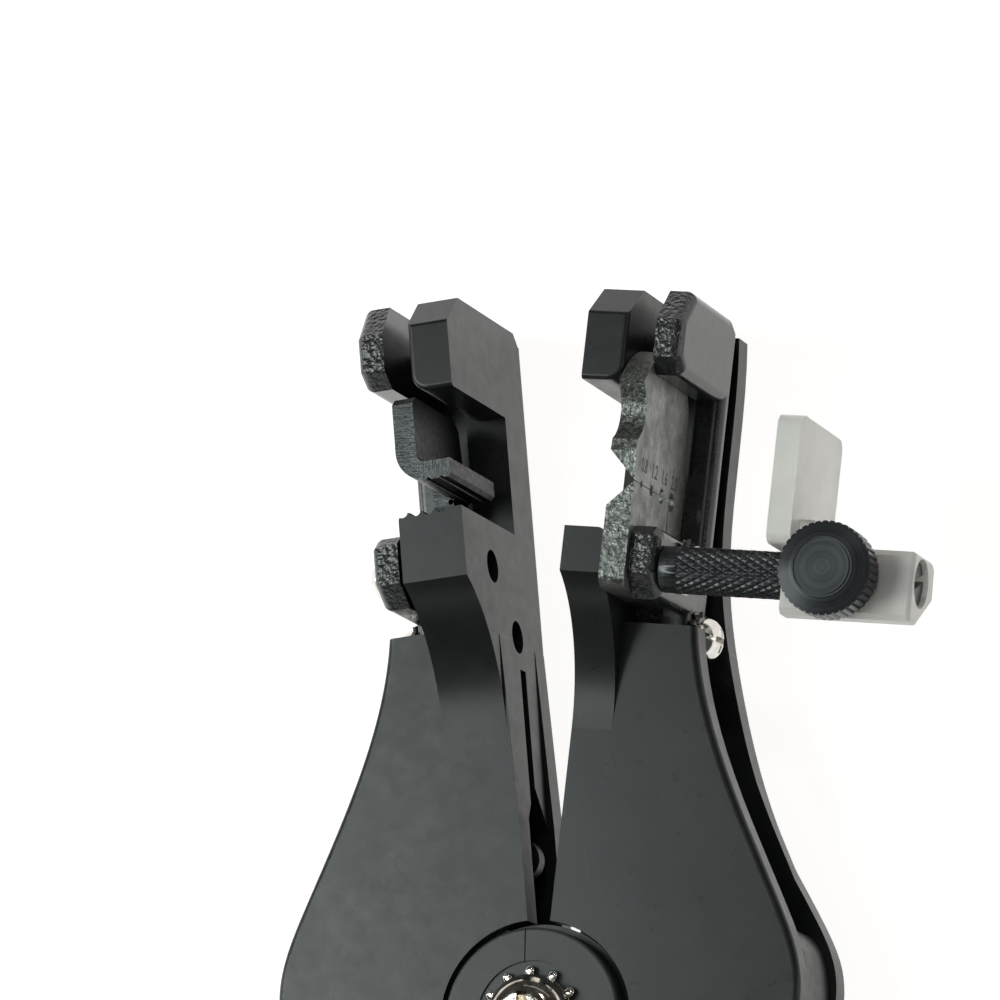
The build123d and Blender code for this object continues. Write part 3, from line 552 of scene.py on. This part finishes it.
def star_washer():
    """Thin ring whose twelve teeth bulge out from under the screw head."""
    low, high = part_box("hub_washer")
    base, top = low[2], high[2]
    outer = (high[0] - low[0]) / 2
    build = bmesh.new()
    profile = ((WASHER_HOLE, base), (outer - 0.95 * MM, base), (outer - 0.85 * MM, base + 0.1 * MM),
               (outer - 0.85 * MM, top - 0.12 * MM), (outer - 0.97 * MM, top), (WASHER_HOLE, top))
    rings = []
    for radius, z in profile:
        ring = []
        for k in range(WASHER_AROUND):
            turn = 2 * math.pi * k / WASHER_AROUND
            ring.append(build.verts.new((radius * math.cos(turn), radius * math.sin(turn), z)))
        rings.append(ring)
    for first, second in zip(rings, rings[1:] + rings[:1]):
        for k in range(WASHER_AROUND):
            after = (k + 1) % WASHER_AROUND
            build.faces.new((first[k], first[after], second[after], second[k]))
    for k in range(TEETH):
        angle = 2 * math.pi * k / TEETH + TOOTH_TURN
        along = Vector((math.cos(angle), math.sin(angle), 0))
        side = Vector((-math.sin(angle), math.cos(angle), 0))
        up = Vector((0, 0, 1)) * math.cos(TOOTH_LEAN) + side * math.sin(TOOTH_LEAN)
        side = side * math.cos(TOOTH_LEAN) - Vector((0, 0, 1)) * math.sin(TOOTH_LEAN)
        centre = along * (outer - 0.62 * MM) + Vector((0, 0, (base + top) / 2 + 0.12 * MM))
        bead(build, centre, along, side, up, TOOTH_SIZE)
    bmesh.ops.recalc_face_normals(build, faces=build.faces)
    for face in build.faces:
        face.smooth = True
    mesh = bpy.data.meshes.new("star_washer")
    build.to_mesh(mesh)
    build.free()
    washer = bpy.data.objects.new("star_washer", mesh)
    scene.collection.objects.link(washer)
    mesh.materials.append(MATERIALS["chrome"])
    sharp = washer.modifiers.new("sharp", "EDGE_SPLIT")
    sharp.split_angle = math.radians(50)
    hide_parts("hub_washer")
    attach(washer, "left_side")


star_washer()


# ---------------------------------------------------------------- size marks
BLADE_FACE = 7.9
MARKS_Y, FIRST_MARK_Z, MARK_SPACING = 58.0, 22.0, 3.4


def size_marks():
    """Conductor sizes as thin figures on the outer face of the upper blade, read from the right."""
    ink = marking_ink()
    turn = right_turn()
    outward = turn @ Vector((1, 0, 0))
    upward = turn @ Vector((0, 1, 0))
    reading = Vector((0, 0, -1))
    for step, words in enumerate(("0.8", "1.2", "1.6", "2.0")):
        data = bpy.data.curves.new("mark_" + words, "FONT")
        data.body = words
        data.size = 2.1 * MM
        data.align_x = "CENTER"
        data.align_y = "CENTER"
        data.extrude = 0.012 * MM
        data.offset = 0.02 * MM
        data.resolution_u = 3
        mark = bpy.data.objects.new("size_mark_%d" % (step + 1), data)
        scene.collection.objects.link(mark)
        place = right_point(BLADE_FACE, MARKS_Y, FIRST_MARK_Z - MARK_SPACING * step)
        facing_out = Matrix((reading, upward, outward)).transposed().to_4x4()
        mark.matrix_world = Matrix.Translation(place) @ facing_out
        mark.scale = (0.78, 1, 1)
        data.materials.append(ink)
        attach(mark, "cutting_jaw")


size_marks()


# ---------------------------------------------------------------- stage
FLOOR_GLOW = 0.93
HORIZON_GLOW, OVERHEAD_GLOW = 0.9, 0.06
FADE_FROM, FADE_TO = 0.07, 0.14  # sine of the height above the horizon
WARM_WHITE = (1, 0.99, 0.97, 1)


def make_floor():
    """Pale floor that glows by itself, so that shadows on it stay faint."""
    bpy.ops.mesh.primitive_plane_add(size=6, location=(0, 0, -0.0003))
    floor = bpy.context.object
    floor.name = "floor"
    kit = Kit("floor_white", (0.25, 0.25, 0.25), 0.9)
    kit.shader.inputs["Emission Color"].default_value = WARM_WHITE
    kit.shader.inputs["Emission Strength"].default_value = FLOOR_GLOW
    floor.data.materials.append(kit.material)


def make_world():
    """Pale where it meets the floor, dim overhead."""
    world = bpy.data.worlds.new("world")
    scene.world = world
    world.use_nodes = True
    tree = world.node_tree
    sky = tree.nodes["Background"]
    sky.inputs["Color"].default_value = WARM_WHITE
    direction = tree.nodes.new("ShaderNodeTexCoord")
    split = tree.nodes.new("ShaderNodeSeparateXYZ")
    fade = tree.nodes.new("ShaderNodeMapRange")
    fade.inputs["From Min"].default_value = FADE_FROM
    fade.inputs["From Max"].default_value = FADE_TO
    fade.inputs["To Min"].default_value = HORIZON_GLOW
    fade.inputs["To Max"].default_value = OVERHEAD_GLOW
    tree.links.new(direction.outputs["Generated"], split.inputs["Vector"])
    tree.links.new(split.outputs["Z"], fade.inputs["Value"])
    tree.links.new(fade.outputs["Result"], sky.inputs["Strength"])


def area_light(name, place, aim, size, power, color=(1, 1, 1)):
    data = bpy.data.lights.new(name, "AREA")
    data.shape = "RECTANGLE"
    data.size, data.size_y = size
    data.energy = power
    data.color = color
    light = bpy.data.objects.new(name, data)
    scene.collection.objects.link(light)
    light.location = place
    light.rotation_euler = (Vector(aim) - Vector(place)).to_track_quat("-Z", "Y").to_euler()


make_floor()
make_world()
area_light("softbox", (-0.205, 0.025, 0.3), (-0.02, 0.02, 0.01), (0.2, 0.2), 1.15, (0.93, 1.0, 0.985))
area_light("overhead", (0.05, 0.0, 1.3), (0, 0.0, 0.01), (0.7, 0.7), 1.6)
area_light("left_strip", (-0.55, 0.1, 0.25), (0, 0.04, 0.01), (0.08, 0.6), 0.6)
area_light("top_strip", (0.1, 0.65, 0.5), (0, 0.05, 0.01), (0.7, 0.04), 0.05)
area_light("right_strip", (0.6, 0.05, 0.22), (0, 0.05, 0.01), (0.06, 0.5), 0.3)
area_light("sparkle", (0.12, 0.4, 0.6), (0, 0.05, 0.01), (0.05, 0.05), 0.4)
